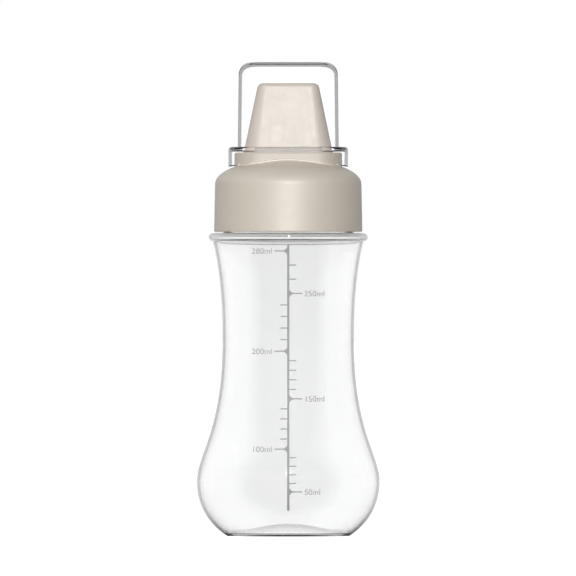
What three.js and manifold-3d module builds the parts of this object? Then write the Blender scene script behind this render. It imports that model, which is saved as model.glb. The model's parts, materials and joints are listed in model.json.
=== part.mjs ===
// A squeeze condiment bottle: a see-through hourglass bottle with a screw cap, a wide flat
// nozzle with a row of holes, a sealing ring and a clear cover that pulls straight off.
//
// Millimetres, +Z up. The origin is the centre of the foot, on the surface that the bottle
// stands on. The front, where the volume scale is printed, faces -Y, and the nozzle is wide
// along X. A height called a rise is counted from the level before it.
import * as THREE from "three";
import { mergeVertices } from "three/addons/utils/BufferGeometryUtils.js";
import Module from "manifold-3d";

const wasm = await Module();
wasm.setup();

// Fits between pieces.
const SEAT_GAP = 0.3; // between faces that touch on the closed bottle
const RIB_GAP = 0.5; // between the cap's plug rib and the inside of the neck
const CAP_FLOAT = 0.45; // between the bead and the cap's lower edge
const NOZZLE_GAP = 1.05; // between the foot of the nozzle and the cover's box
const COLLAR_GAP = 1.1; // between the collar and the cover's skirt
const DOME_GAP = 0.9; // between the dome and the cover's skirt, straight up

// Bottle: one blown wall, from the foot up.
const FOOT_R = 23.9;
const FOOT_LAND = 2.7; // width of the flat ring that the bottle stands on
const PUSH_UP = 3.4; // how far the middle of the base is pushed up
const FOOT_LEAVE = THREE.MathUtils.degToRad(30); // the wall's angle as it leaves the foot
const BELLY_R = 35.95;
const BELLY_RISE = 21.3;
const WAIST_R = 25.8;
const WAIST_RISE = 55.7;
const SHOULDER_R = 29.45;
const SHOULDER_RISE = 38.5;
const SHOULDER_FLARE = THREE.MathUtils.degToRad(13); // from upright, just under the bead
const WALL = 1.1;
// How far each curve of the wall keeps its end directions, as shares of its rise.
const FOOT_PULL_SHARE = 0.2;
const BELLY_UNDER_SHARE = 0.6;
const BELLY_OVER_SHARE = 0.2;
const WAIST_UNDER_SHARE = 0.65;
const WAIST_OVER_SHARE = 0.1;
const SHOULDER_PULL_SHARE = 0.45;

// Bead: the round ring that carries the bottle in the mould and stops the hand at the cap.
const BEAD_R = 1.65;
const BEAD_PROUD = 1.8; // beyond the shoulder
const BEAD_WRAP = THREE.MathUtils.degToRad(140); // where the bead runs into the neck's root
const BEAD_WALL = 0.9; // the bead is blown hollow, like the rest of the wall
const BEAD_HOLLOW_WRAP = THREE.MathUtils.degToRad(120);

// Neck: the threaded mouth, hidden in the cap.
const NECK_STEP = 4.15; // how much narrower the neck's root is than the shoulder
const NECK_RISE = 18.1; // from the top of the bead to the lip
const NECK_WALL = 1.8;
const NECK_FILLET = 1.2;
const LIP_ROUND = 0.5;

// Thread: two starts, right-handed, the same helix on the neck and in the cap.
const THREAD_STARTS = 2;
const THREAD_LEAD = 7;
const THREAD_HEIGHT = 1.3;
const THREAD_FLANK = THREE.MathUtils.degToRad(22);
const THREAD_SIDE_GAP = 0.2; // axial play on each side, at half height
const THREAD_CREST_GAP = 0.4; // radial play over each crest
const THREAD_SINK = 0.6; // how deep a ridge is rooted in its wall
const NECK_THREAD_TURNS = 1.25;
const NECK_THREAD_DROP = 2.6; // from the lip to the upper end of the neck's thread
const CAP_THREAD_TURNS = 0.9;
const CAP_THREAD_RISE = 4.5; // from the cap's lower edge to the start of its thread
const THREAD_FADE_STEPS = 4; // facets over which a ridge comes out of its wall

// Sealing ring: a flat soft washer on the lip.
const RING_THICKNESS = 1.5;
const RING_ROUND = 0.35;

// Screw cap: skirt, dome and collar in one moulding.
const CAP_WALL = 2.05;
const CAP_DRAFT = 0.35; // the skirt is this much narrower at the dome
const CAP_EDGE = 0.4; // bevel of the lower edge
const CAP_ROOF = 2; // thickness of the dome, straight up
const DOME_DROP = 1.2; // the dome starts this far below the ring's seat
const DOME_EDGE = 8.7; // how far the rounded edge of the dome reaches inwards
const DOME_EDGE_RISE = 7.2;
const DOME_SLOPE = THREE.MathUtils.degToRad(13);
const DOME_START_SHARE = 0.6; // of its rise: how long the edge stays upright
const DOME_END_SHARE = 0.25; // of its reach: how long it has the slope of the dome
const RIB_WALL = 1;
const RIB_DROP = 3.4; // from the ring's seat down to the end of the plug rib
const COLLAR_MARGIN = 3.3; // from the nozzle's opening to the outside of the collar
const COLLAR_RISE = 3.1; // from the dome to the collar's top, at the middle of its long side
const COLLAR_LIP = 2; // thickness of the collar over the nozzle's flange
const COLLAR_ROUND = 0.8;

// Spout: the flat nozzle, its foot clipped into the collar from below.
const SPOUT_RISE = 27.2; // from the collar's top to the tip
const SPOUT_FOOT_X = 17.5; // half widths and half depths
const SPOUT_FOOT_Y = 6.8;
const SPOUT_FOOT_CORNER = 6.4;
const SPOUT_TIP_X = 11.8;
const SPOUT_TIP_Y = 4;
const SPOUT_TIP_CORNER = 3.4;
const SPOUT_ROUND = 1.8; // edge of the tip
const SPOUT_WALL = 1.3;
const SPOUT_TIP_WALL = 1.5;
const FLANGE_OUT = 1.6;
const FLANGE_THICKNESS = 2;
const CLIP_BEAD = 0.5; // ridge in the collar that keeps the flange up
const CLIP_BEAD_RISE = 0.7;
const HOLE_COUNT = 5;
const HOLE_R = 1.05;
const HOLE_PITCH = 4;

// Dust cover: a clear box on a shelf with a skirt round the collar.
const COVER_WALL = 1.3;
const COVER_TOP_WALL = 1.65;
const COVER_HEADROOM = 6.58; // over the tip of the nozzle
const COVER_DRAFT = 0.4; // the box is this much narrower at its top
const COVER_ROUND = 4.8; // outer edge of the top
const SHELF_THICKNESS = 1.9;
const SHELF_ROUND = 1.3;

// Fineness of the curved faces.
const ROUND_STEPS = 48; // facets in a full turn
const CORNER_STEPS = 6; // facets in a corner of the nozzle, the collar and the cover
const EDGE_STEPS = 4; // facets in a rounded edge
const FOOT_STEPS = 6;
const WAIST_STEPS = 8;
const SHOULDER_STEPS = 5;
const BEAD_STEPS = 8;
const DOME_STEPS = 6;
const HOLE_STEPS = 12;
const WELD = 1e-4; // points closer than this are one
const OVERRUN = 2; // how far a cutting solid runs past the face that it cuts
const LEAST_CORNER = 0.2;

// Levels, from the foot up.
const bellyZ = BELLY_RISE;
const waistZ = bellyZ + WAIST_RISE;
const shoulderZ = waistZ + SHOULDER_RISE;
const beadZ = shoulderZ + BEAD_R;
const beadCentreR = SHOULDER_R + BEAD_PROUD - BEAD_R;
const neckR = SHOULDER_R - NECK_STEP;
const mouthR = neckR - NECK_WALL;
const rootZ = beadZ + BEAD_R * Math.sin(BEAD_WRAP);
const lipZ = beadZ + BEAD_R + NECK_RISE;
const capBottomZ = beadZ + BEAD_R + CAP_FLOAT;
const seatZ = lipZ + SEAT_GAP + RING_THICKNESS + SEAT_GAP;
const boreR = neckR + THREAD_HEIGHT + THREAD_CREST_GAP;
const capR = boreR + CAP_WALL;
const ribR = mouthR - RIB_GAP;
const domeStartZ = seatZ - DOME_DROP;
const coneR = capR - CAP_DRAFT - DOME_EDGE;
const coneZ = domeStartZ + DOME_EDGE_RISE;

// Two-dimensional points are (radius, height).
const point = (r, z) => new THREE.Vector2(r, z);

// A cubic curve through a start and an end, with the two handles that set its directions.
function curve(start, startHandle, endHandle, end, steps) {
  return new THREE.CubicBezierCurve(start, startHandle, endHandle, end).getPoints(steps);
}

// Points of a circular arc, its angles counted from the outward direction.
function arc(centreR, centreZ, radius, from, to, steps) {
  const points = [];
  for (let i = 0; i <= steps; i += 1) {
    const angle = from + ((to - from) * i) / steps;
    points.push(point(centreR + radius * Math.cos(angle), centreZ + radius * Math.sin(angle)));
  }
  return points;
}

// The same outline moved inwards by the wall's thickness.
function inset(points, wall) {
  return points.map((p, i) => {
    const before = points[Math.max(i - 1, 0)];
    const after = points[Math.min(i + 1, points.length - 1)];
    const along = after.clone().sub(before).normalize();
    return point(p.x - along.y * wall, p.y + along.x * wall);
  });
}

// A closed geometry as a solid that can be joined and cut.
function solidOf(geometry) {
  geometry.deleteAttribute("normal");
  geometry.deleteAttribute("uv");
  const welded = mergeVertices(geometry, WELD);
  const corners = welded.index.array;
  const kept = [];
  for (let i = 0; i < corners.length; i += 3) {
    const [a, b, c] = corners.slice(i, i + 3);
    if (a !== b && b !== c && c !== a) kept.push(a, b, c);
  }
  return new wasm.Manifold(
    new wasm.Mesh({
      numProp: 3,
      vertProperties: welded.attributes.position.array,
      triVerts: Uint32Array.from(kept),
    }),
  );
}

// A solid turned about Z. The outline runs with the solid on its left hand side.
function turned(outline) {
  const geometry = new THREE.LatheGeometry(outline, ROUND_STEPS);
  geometry.rotateX(Math.PI / 2);
  return solidOf(geometry);
}

// A rounded rectangle's sizes, made smaller (or larger) all round, at another height.
function shrunk({ halfX, halfY, corner }, by, z) {
  return {
    halfX: halfX - by,
    halfY: halfY - by,
    corner: Math.max(corner - by, LEAST_CORNER),
    z,
  };
}

// A rounded rectangle that lies between two others.
function between(low, high, z) {
  const share = (z - low.z) / (high.z - low.z);
  return {
    halfX: THREE.MathUtils.lerp(low.halfX, high.halfX, share),
    halfY: THREE.MathUtils.lerp(low.halfY, high.halfY, share),
    corner: THREE.MathUtils.lerp(low.corner, high.corner, share),
    z,
  };
}

// Rings that round the upper edge of a loft: the last one lies on the top face.
function roundedTop(side, radius, topZ) {
  const rings = [];
  for (let i = 0; i <= EDGE_STEPS; i += 1) {
    const angle = (i / EDGE_STEPS) * (Math.PI / 2);
    rings.push(
      shrunk(side, radius * (1 - Math.cos(angle)), topZ - radius * (1 - Math.sin(angle))),
    );
  }
  return rings;
}

// A closed solid through rounded rectangles, from the lowest to the highest.
function lofted(rings) {
  const positions = [];
  const corners = [];
  for (const { halfX, halfY, corner, z } of rings) {
    for (let quarter = 0; quarter < 4; quarter += 1) {
      const sideX = quarter === 0 || quarter === 3 ? 1 : -1;
      const sideY = quarter < 2 ? 1 : -1;
      for (let i = 0; i <= CORNER_STEPS; i += 1) {
        const angle = (quarter + i / CORNER_STEPS) * (Math.PI / 2);
        positions.push(
          sideX * (halfX - corner) + corner * Math.cos(angle),
          sideY * (halfY - corner) + corner * Math.sin(angle),
          z,
        );
      }
    }
  }
  const count = 4 * (CORNER_STEPS + 1);
  for (let level = 0; level + 1 < rings.length; level += 1) {
    for (let i = 0; i < count; i += 1) {
      const a = level * count + i;
      const b = level * count + ((i + 1) % count);
      corners.push(a, b, b + count, a, b + count, a + count);
    }
  }
  const bottom = positions.length / 3;
  positions.push(0, 0, rings[0].z, 0, 0, rings[rings.length - 1].z);
  const topRing = (rings.length - 1) * count;
  for (let i = 0; i < count; i += 1) {
    const next = (i + 1) % count;
    corners.push(bottom, next, i, bottom + 1, topRing + i, topRing + next);
  }
  const geometry = new THREE.BufferGeometry();
  geometry.setAttribute("position", new THREE.Float32BufferAttribute(positions, 3));
  geometry.setIndex(corners);
  return solidOf(geometry);
}

// Thread: the height of the helix's middle line at an angle, and one ridge along it.
const threadPitch = THREAD_LEAD / THREAD_STARTS;
const facet = (2 * Math.PI) / ROUND_STEPS;
const neckThreadZ = lipZ - NECK_THREAD_DROP - NECK_THREAD_TURNS * THREAD_LEAD;
const helixRise = (angle) => (THREAD_LEAD * angle) / (2 * Math.PI);

// The ridge stands on a wall of the given radius. It points outwards, or inwards with a
// side of -1, and grows out of the wall over its first facets and back into it at its end.
function threadRidge(wallR, side, startZ, startAngle, turns) {
  const halfMiddle = threadPitch / 4 - THREAD_SIDE_GAP / 2;
  const halfSlope = (THREAD_HEIGHT / 2) * Math.tan(THREAD_FLANK);
  const steps = Math.round(turns * ROUND_STEPS);
  const positions = [];
  const corners = [];
  for (let i = 0; i <= steps; i += 1) {
    const grown = Math.min(1, Math.min(i, steps - i) / THREAD_FADE_STEPS);
    const angle = startAngle + i * facet;
    const z = startZ + helixRise(i * facet);
    const rootR = wallR - side * THREAD_SINK;
    const crestR = wallR + side * (THREAD_HEIGHT * grown - (THREAD_SINK / 2) * (1 - grown));
    const section = [
      [rootR, -halfMiddle - halfSlope],
      [crestR, -halfMiddle + halfSlope],
      [crestR, halfMiddle - halfSlope],
      [rootR, halfMiddle + halfSlope],
    ];
    if (side < 0) section.reverse();
    for (const [r, dz] of section) {
      positions.push(r * Math.cos(angle), r * Math.sin(angle), z + dz);
    }
  }
  for (let i = 0; i < steps; i += 1) {
    for (let k = 0; k < 4; k += 1) {
      const a = i * 4 + k;
      const b = i * 4 + ((k + 1) % 4);
      corners.push(a, a + 4, b, b, a + 4, b + 4);
    }
  }
  const last = steps * 4;
  corners.push(0, 1, 2, 0, 2, 3, last, last + 2, last + 1, last, last + 3, last + 2);
  const geometry = new THREE.BufferGeometry();
  geometry.setAttribute("position", new THREE.Float32BufferAttribute(positions, 3));
  geometry.setIndex(corners);
  return solidOf(geometry);
}

// All the starts of a thread, evenly round the axis.
function thread(wallR, side, startZ, startAngle, turns) {
  const ridges = [];
  for (let start = 0; start < THREAD_STARTS; start += 1) {
    const angle = startAngle + (start * 2 * Math.PI) / THREAD_STARTS;
    ridges.push(threadRidge(wallR, side, startZ, angle, turns));
  }
  return ridges.reduce((all, ridge) => all.add(ridge));
}

function makeBottle() {
  const footToBelly = curve(
    point(FOOT_R, 0),
    point(
      FOOT_R + FOOT_PULL_SHARE * BELLY_RISE * Math.cos(FOOT_LEAVE),
      FOOT_PULL_SHARE * BELLY_RISE * Math.sin(FOOT_LEAVE),
    ),
    point(BELLY_R, bellyZ - BELLY_UNDER_SHARE * BELLY_RISE),
    point(BELLY_R, bellyZ),
    FOOT_STEPS,
  );
  const bellyToWaist = curve(
    point(BELLY_R, bellyZ),
    point(BELLY_R, bellyZ + BELLY_OVER_SHARE * WAIST_RISE),
    point(WAIST_R, waistZ - WAIST_UNDER_SHARE * WAIST_RISE),
    point(WAIST_R, waistZ),
    WAIST_STEPS,
  );
  const flareDrop = SHOULDER_PULL_SHARE * SHOULDER_RISE;
  const waistToShoulder = curve(
    point(WAIST_R, waistZ),
    point(WAIST_R, waistZ + WAIST_OVER_SHARE * SHOULDER_RISE),
    point(SHOULDER_R - flareDrop * Math.tan(SHOULDER_FLARE), shoulderZ - flareDrop),
    point(SHOULDER_R, shoulderZ),
    SHOULDER_STEPS,
  );
  const wall = [...footToBelly, ...bellyToWaist.slice(1), ...waistToShoulder.slice(1)];
  const innerWall = inset(wall, WALL).slice(1);

  // The pushed-up base is a shallow dome, and the floor inside follows it.
  const pushUp = curve(
    point(0, PUSH_UP),
    point((FOOT_R - FOOT_LAND) / 2, PUSH_UP),
    point(FOOT_R - 2 * FOOT_LAND, 0),
    point(FOOT_R - FOOT_LAND, 0),
    EDGE_STEPS,
  );
  const floor = pushUp.map((p) => point(p.x, p.y + WALL));

  const neck = [
    ...arc(
      neckR + NECK_FILLET,
      rootZ + NECK_FILLET,
      NECK_FILLET,
      -Math.PI / 2,
      -Math.PI,
      EDGE_STEPS - 1,
    ),
    point(neckR, lipZ - LIP_ROUND),
    point(neckR - LIP_ROUND, lipZ),
    point(mouthR + LIP_ROUND, lipZ),
    point(mouthR, lipZ - LIP_ROUND),
  ];
  const innerBead = arc(
    beadCentreR,
    beadZ,
    BEAD_R - BEAD_WALL,
    BEAD_HOLLOW_WRAP,
    -Math.PI / 2,
    BEAD_STEPS,
  );
  const innerDeck = curve(
    point(mouthR, rootZ),
    point(mouthR, rootZ - WALL),
    point(innerBead[0].x - BEAD_R, innerBead[0].y - BEAD_WALL),
    innerBead[0],
    EDGE_STEPS,
  );
  const outline = [
    ...pushUp,
    ...wall,
    ...arc(beadCentreR, beadZ, BEAD_R, -Math.PI / 2, BEAD_WRAP, BEAD_STEPS),
    ...neck,
    ...innerDeck.slice(0, -1),
    ...innerBead,
    ...innerWall.reverse(),
    ...floor.reverse(),
  ];
  return turned(outline).add(thread(neckR, 1, neckThreadZ, 0, NECK_THREAD_TURNS));
}

function makeSealingRing() {
  const innerR = ribR + SEAT_GAP;
  const outerR = boreR - SEAT_GAP;
  const lowZ = lipZ + SEAT_GAP;
  const highZ = lowZ + RING_THICKNESS;
  return turned([
    point(innerR + RING_ROUND, lowZ),
    point(outerR - RING_ROUND, lowZ),
    point(outerR, lowZ + RING_ROUND),
    point(outerR, highZ - RING_ROUND),
    point(outerR - RING_ROUND, highZ),
    point(innerR + RING_ROUND, highZ),
    point(innerR, highZ - RING_ROUND),
    point(innerR, lowZ + RING_ROUND),
    point(innerR + RING_ROUND, lowZ),
  ]);
}

// The dome's outer outline, from the skirt to the axis.
const domeEdge = curve(
  point(capR - CAP_DRAFT, domeStartZ),
  point(capR - CAP_DRAFT, domeStartZ + DOME_START_SHARE * DOME_EDGE_RISE),
  point(
    coneR + DOME_END_SHARE * DOME_EDGE * Math.cos(DOME_SLOPE),
    coneZ - DOME_END_SHARE * DOME_EDGE * Math.sin(DOME_SLOPE),
  ),
  point(coneR, coneZ),
  DOME_STEPS,
);
const domeOutline = [...domeEdge, point(0, coneZ + coneR * Math.tan(DOME_SLOPE))];

// Height of the dome over a radius.
function domeZ(r) {
  const i = domeOutline.findIndex((p) => p.x <= r);
  if (i <= 0) return domeStartZ;
  const outer = domeOutline[i - 1];
  const inner = domeOutline[i];
  return THREE.MathUtils.mapLinear(r, outer.x, inner.x, outer.y, inner.y);
}

// The nozzle's outline where it leaves the collar, which the collar and the cover follow.
const collarTopZ = domeZ(SPOUT_FOOT_Y + SEAT_GAP + COLLAR_MARGIN) + COLLAR_RISE;
const spoutFoot = {
  halfX: SPOUT_FOOT_X,
  halfY: SPOUT_FOOT_Y,
  corner: SPOUT_FOOT_CORNER,
  z: collarTopZ,
};
const tipZ = collarTopZ + SPOUT_RISE;
const spoutTip = {
  halfX: SPOUT_TIP_X,
  halfY: SPOUT_TIP_Y,
  corner: SPOUT_TIP_CORNER,
  z: tipZ,
};
const collarSide = shrunk(spoutFoot, -SEAT_GAP - COLLAR_MARGIN, collarTopZ);
const collarBaseZ = domeZ(collarSide.halfX) - CAP_ROOF / 2;
const flangeTopZ = collarTopZ - COLLAR_LIP - SEAT_GAP;
const flangeBottomZ = flangeTopZ - FLANGE_THICKNESS;

function makeScrewCap() {
  const roof = [
    point(0, domeZ(0) - CAP_ROOF),
    point(coneR, coneZ - CAP_ROOF),
    point(ribR - RIB_WALL, domeZ(ribR - RIB_WALL) - CAP_ROOF),
  ];
  const shell = turned([
    point(boreR + CAP_EDGE, capBottomZ),
    point(capR - CAP_EDGE, capBottomZ),
    point(capR, capBottomZ + CAP_EDGE),
    ...domeOutline,
    ...roof,
    point(ribR - RIB_WALL, seatZ - RIB_DROP),
    point(ribR, seatZ - RIB_DROP),
    point(ribR, seatZ),
    point(boreR, seatZ),
    point(boreR, capBottomZ + CAP_EDGE),
    point(boreR + CAP_EDGE, capBottomZ),
  ]);
  const collar = lofted([
    { ...collarSide, z: collarBaseZ },
    ...roundedTop(collarSide, COLLAR_ROUND, collarTopZ),
  ]);

  // The opening: wide below for the flange, with a ridge that clips it in, and narrow above.
  const opening = shrunk(spoutFoot, -SEAT_GAP, collarTopZ);
  const pocket = shrunk(spoutFoot, -SEAT_GAP - FLANGE_OUT, collarTopZ);
  const clipped = shrunk(pocket, CLIP_BEAD, collarTopZ);
  const clipZ = flangeBottomZ - SEAT_GAP - CLIP_BEAD;
  const opened = lofted([
    { ...pocket, z: collarBaseZ - OVERRUN },
    { ...pocket, z: clipZ - CLIP_BEAD_RISE },
    { ...clipped, z: clipZ - CLIP_BEAD_RISE + CLIP_BEAD },
    { ...clipped, z: clipZ },
    { ...pocket, z: clipZ + CLIP_BEAD },
    { ...pocket, z: collarTopZ - COLLAR_LIP },
    { ...opening, z: collarTopZ - COLLAR_LIP },
    { ...opening, z: collarTopZ + OVERRUN },
  ]);

  // The cap's thread runs half a pitch over the neck's, from the facet nearest its start.
  const wantedZ = capBottomZ + CAP_THREAD_RISE;
  const shift = Math.round((wantedZ - neckThreadZ) / helixRise(facet));
  const capThreadZ = neckThreadZ + threadPitch / 2 + helixRise(shift * facet);
  const capThread = thread(boreR, -1, capThreadZ, shift * facet, CAP_THREAD_TURNS);
  return shell.add(collar).subtract(opened).add(capThread);
}

function makeSpout() {
  const flange = shrunk(spoutFoot, -FLANGE_OUT, flangeBottomZ);
  const tipSide = between(spoutFoot, spoutTip, tipZ - SPOUT_ROUND);
  const outside = lofted([
    flange,
    { ...flange, z: flangeTopZ },
    { ...spoutFoot, z: flangeTopZ },
    spoutFoot,
    tipSide,
    ...roundedTop(tipSide, SPOUT_ROUND, tipZ).slice(1),
  ]);
  const inner = shrunk(spoutFoot, SPOUT_WALL, collarTopZ);
  const innerTipZ = tipZ - SPOUT_TIP_WALL;
  const innerTip = shrunk(between(spoutFoot, spoutTip, innerTipZ), SPOUT_WALL, innerTipZ);
  const channel = lofted([{ ...inner, z: flangeBottomZ - OVERRUN }, inner, innerTip]);
  let spout = outside.subtract(channel);
  for (let i = 0; i < HOLE_COUNT; i += 1) {
    const length = SPOUT_TIP_WALL + 2 * OVERRUN;
    const hole = new THREE.CylinderGeometry(HOLE_R, HOLE_R, length, HOLE_STEPS);
    hole.rotateX(Math.PI / 2);
    hole.translate((i - (HOLE_COUNT - 1) / 2) * HOLE_PITCH, 0, tipZ - SPOUT_TIP_WALL / 2);
    spout = spout.subtract(solidOf(hole));
  }
  return spout;
}

function makeDustCover() {
  const shelfZ = collarTopZ + SEAT_GAP;
  const shelfTopZ = shelfZ + SHELF_THICKNESS;
  const topZ = tipZ + COVER_HEADROOM + COVER_TOP_WALL;
  const innerTopZ = tipZ + COVER_HEADROOM;
  const skirtInside = shrunk(collarSide, -COLLAR_GAP, shelfZ);
  const skirtOutside = shrunk(skirtInside, -COVER_WALL, shelfTopZ);
  const boxInside = shrunk(spoutFoot, -NOZZLE_GAP, shelfZ);
  const boxOutside = shrunk(boxInside, -COVER_WALL, shelfTopZ);
  const outside = lofted([
    { ...skirtOutside, z: domeStartZ },
    ...roundedTop(skirtOutside, SHELF_ROUND, shelfTopZ),
    boxOutside,
    ...roundedTop(shrunk(boxOutside, COVER_DRAFT, topZ), COVER_ROUND, topZ),
  ]);
  const inside = lofted([
    { ...skirtInside, z: domeStartZ - OVERRUN },
    skirtInside,
    boxInside,
    ...roundedTop(
      shrunk(boxInside, COVER_DRAFT, innerTopZ),
      COVER_ROUND - COVER_WALL,
      innerTopZ,
    ),
  ]);

  // The skirt ends a little over the dome all the way round.
  const domeBelow = turned([
    point(0, domeStartZ - 2 * OVERRUN),
    point(capR - CAP_DRAFT, domeStartZ - 2 * OVERRUN),
    ...domeOutline.map((p) => point(p.x, p.y + DOME_GAP)),
  ]);
  return outside.subtract(inside).subtract(domeBelow);
}

// Finishes, as they look in daylight.
const beigePlastic = { color: 0xe6ddd2, roughness: 0.45, metalness: 0 };
const frostedPlastic = {
  color: 0xeef0f0,
  roughness: 0.35,
  metalness: 0,
  transparent: true,
  opacity: 0.45,
};
const clearPlastic = {
  color: 0xf6f8f8,
  roughness: 0.08,
  metalness: 0,
  transparent: true,
  opacity: 0.25,
};
const softSilicone = { color: 0xf0f0ec, roughness: 0.6, metalness: 0 };

function piece(name, solid, finish) {
  const { vertProperties, triVerts } = solid.getMesh();
  const geometry = new THREE.BufferGeometry();
  geometry.setAttribute("position", new THREE.BufferAttribute(vertProperties, 3));
  geometry.setIndex(new THREE.BufferAttribute(triVerts, 1));
  geometry.computeVertexNormals();
  const mesh = new THREE.Mesh(geometry, new THREE.MeshStandardMaterial(finish));
  mesh.name = name;
  return mesh;
}

const condimentBottle = new THREE.Group();
const closure = new THREE.Group(); // what comes away with the cap
condimentBottle.add(piece("bottle", makeBottle(), frostedPlastic), closure);
closure.add(
  piece("sealing_ring", makeSealingRing(), softSilicone),
  piece("screw_cap", makeScrewCap(), beigePlastic),
  piece("spout", makeSpout(), beigePlastic),
  piece("dust_cover", makeDustCover(), clearPlastic),
);

export default condimentBottle;
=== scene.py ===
# %% [markdown]
# # A squeeze bottle for sauces
#
# This notebook dresses a squeeze bottle: a see-through hourglass bottle with a printed volume
# scale, a beige screw cap with a flat nozzle, and a clear cover that pulls off the nozzle. A
# technical model already says where each piece is and how it moves. Here every piece gets the
# fine surface and the finish of the real one, at exactly the same place.

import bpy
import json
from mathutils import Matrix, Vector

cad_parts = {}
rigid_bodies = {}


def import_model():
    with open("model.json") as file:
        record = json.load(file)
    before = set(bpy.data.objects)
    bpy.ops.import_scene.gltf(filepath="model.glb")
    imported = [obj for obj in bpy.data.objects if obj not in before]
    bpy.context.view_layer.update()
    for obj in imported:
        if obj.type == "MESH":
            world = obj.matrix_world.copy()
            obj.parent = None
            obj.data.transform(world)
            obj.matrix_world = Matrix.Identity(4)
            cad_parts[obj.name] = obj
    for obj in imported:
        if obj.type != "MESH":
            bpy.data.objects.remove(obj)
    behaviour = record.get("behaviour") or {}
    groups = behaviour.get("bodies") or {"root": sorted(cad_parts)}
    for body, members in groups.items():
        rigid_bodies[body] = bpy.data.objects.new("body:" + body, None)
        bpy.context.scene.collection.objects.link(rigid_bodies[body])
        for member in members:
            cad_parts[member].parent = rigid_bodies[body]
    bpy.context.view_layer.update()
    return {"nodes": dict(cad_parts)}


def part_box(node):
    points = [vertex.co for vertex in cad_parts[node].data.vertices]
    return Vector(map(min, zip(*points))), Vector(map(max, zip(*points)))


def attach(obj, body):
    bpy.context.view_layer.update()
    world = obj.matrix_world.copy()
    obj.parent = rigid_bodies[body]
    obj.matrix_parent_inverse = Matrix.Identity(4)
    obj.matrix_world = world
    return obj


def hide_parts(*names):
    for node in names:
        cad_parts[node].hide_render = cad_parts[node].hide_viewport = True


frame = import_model()

# %% [markdown]
# ## Sizes
#
# The real object is measured in millimetres, and Blender counts in metres. A size is therefore
# written in millimetres, and multiplied by MM where it goes into Blender. Whatever the technical
# model already knows, such as how wide the bottle is, is asked from it and not typed again.

# %% Millimetres, and the reach of each technical piece
import json
import math

import bmesh
import bpy
from mathutils import Vector

MM = 0.001


def reach(node):
    """The highest x, y and z of a technical piece, and its lowest z, in millimetres."""
    low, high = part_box(node)
    return high.x / MM, high.y / MM, high.z / MM, low.z / MM


for node_name in sorted(frame["nodes"]):
    print(node_name, [round(size, 2) for size in reach(node_name)])

# %% [markdown]
# ## Two ways of shaping
#
# Nearly everything here is either turned or lofted. A turned piece, such as the bottle, is drawn
# as half an outline and spun round the upright axis. By hand one starts from a single vertex,
# extrudes it along the outline and uses Spin. The same steps are done here by the operators.

# %% Spin an outline round the upright axis
TURN_STEPS = 144  # facets in a full turn
WELD = 1e-7


def close_mesh():
    """Merges the points that touch, turns all faces outwards and leaves edit mode."""
    bpy.ops.mesh.select_all(action="SELECT")
    bpy.ops.mesh.remove_doubles(threshold=WELD)
    bpy.ops.mesh.normals_make_consistent(inside=False)
    bpy.ops.object.mode_set(mode="OBJECT")


def start_point(at):
    """Adds a plane, shrinks it to one vertex and puts that at a place."""
    bpy.ops.mesh.primitive_plane_add(size=MM)
    if bpy.context.mode == "OBJECT":
        bpy.ops.object.mode_set(mode="EDIT")
    bpy.ops.mesh.select_mode(type="VERT")
    bpy.ops.mesh.merge(type="CENTER")
    bpy.ops.transform.translate(value=at)


def extrude(by):
    bpy.ops.mesh.extrude_region_move(TRANSFORM_OT_translate={"value": by})


def turned(name, outline):
    """A closed body from an outline of (radius, height) points, spun round the Z axis."""
    bpy.ops.object.select_all(action="DESELECT")
    points = [Vector((r, 0, z)) * MM for r, z in outline]
    if outline[0][0] > 0:
        points.append(points[0])  # an outline beside the axis goes all the way round
    start_point(points[0])
    bpy.context.object.name = name
    for before, after in zip(points, points[1:]):
        extrude(after - before)
    bpy.ops.mesh.select_all(action="SELECT")
    bpy.ops.mesh.spin(steps=TURN_STEPS, angle=2 * math.pi, center=(0, 0, 0), axis=(0, 0, 1))
    close_mesh()
    return bpy.context.object


# %% [markdown]
# The nozzle, the collar and the cover are lofted: they run through rounded rectangles at
# different heights. Each rounded rectangle is a plane whose four corners are bevelled, and Bridge
# Edge Loops makes the walls between them. Level steps get a tiny rise, so that no two rectangles
# lie at the same height and the bridge finds their order.

# %% Bridge rounded rectangles
CORNER_STEPS = 14
STEP_RISE = 0.01  # millimetres


def rounded_rectangle(half_x, half_y, corner, z):
    """Adds a rounded rectangle to the mesh that is being edited, as an open loop."""
    centre = Vector((0, 0, z)) * MM
    bpy.ops.mesh.select_all(action="DESELECT")
    bpy.ops.mesh.primitive_plane_add(size=2 * MM, location=centre)
    bpy.ops.transform.resize(value=(half_x, half_y, 1), center_override=centre)
    bpy.ops.mesh.bevel(
        offset=corner * MM, affect="VERTICES", segments=CORNER_STEPS, clamp_overlap=False
    )
    bpy.ops.mesh.delete(type="ONLY_FACE")


def lofted(name, rings):
    """A closed body through (half width, half depth, corner, height) rings, lowest first."""
    bpy.ops.object.select_all(action="DESELECT")
    start_point((0, 0, 0))
    bpy.context.object.name = name
    bpy.ops.mesh.delete(type="VERT")
    for half_x, half_y, corner, z in rings:
        rounded_rectangle(half_x, half_y, corner, z)
    bpy.ops.mesh.select_all(action="SELECT")
    bpy.ops.mesh.bridge_edge_loops()
    bpy.ops.mesh.select_all(action="SELECT")
    bpy.ops.mesh.fill_holes(sides=0)
    close_mesh()
    return bpy.context.object


def grown(ring, by, z):
    """The same rounded rectangle, larger (or smaller) all round, at another height."""
    half_x, half_y, corner, _ = ring
    return half_x + by, half_y + by, corner + by, z


# %% [markdown]
# Edges of moulded plastic are never sharp. Bevel rounds a rim once the right edges are selected,
# and because there is no mouse here, a small test picks them by their place. Boolean modifiers
# join and cut the finished bodies, as one would do for a socket or a hole.

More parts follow.
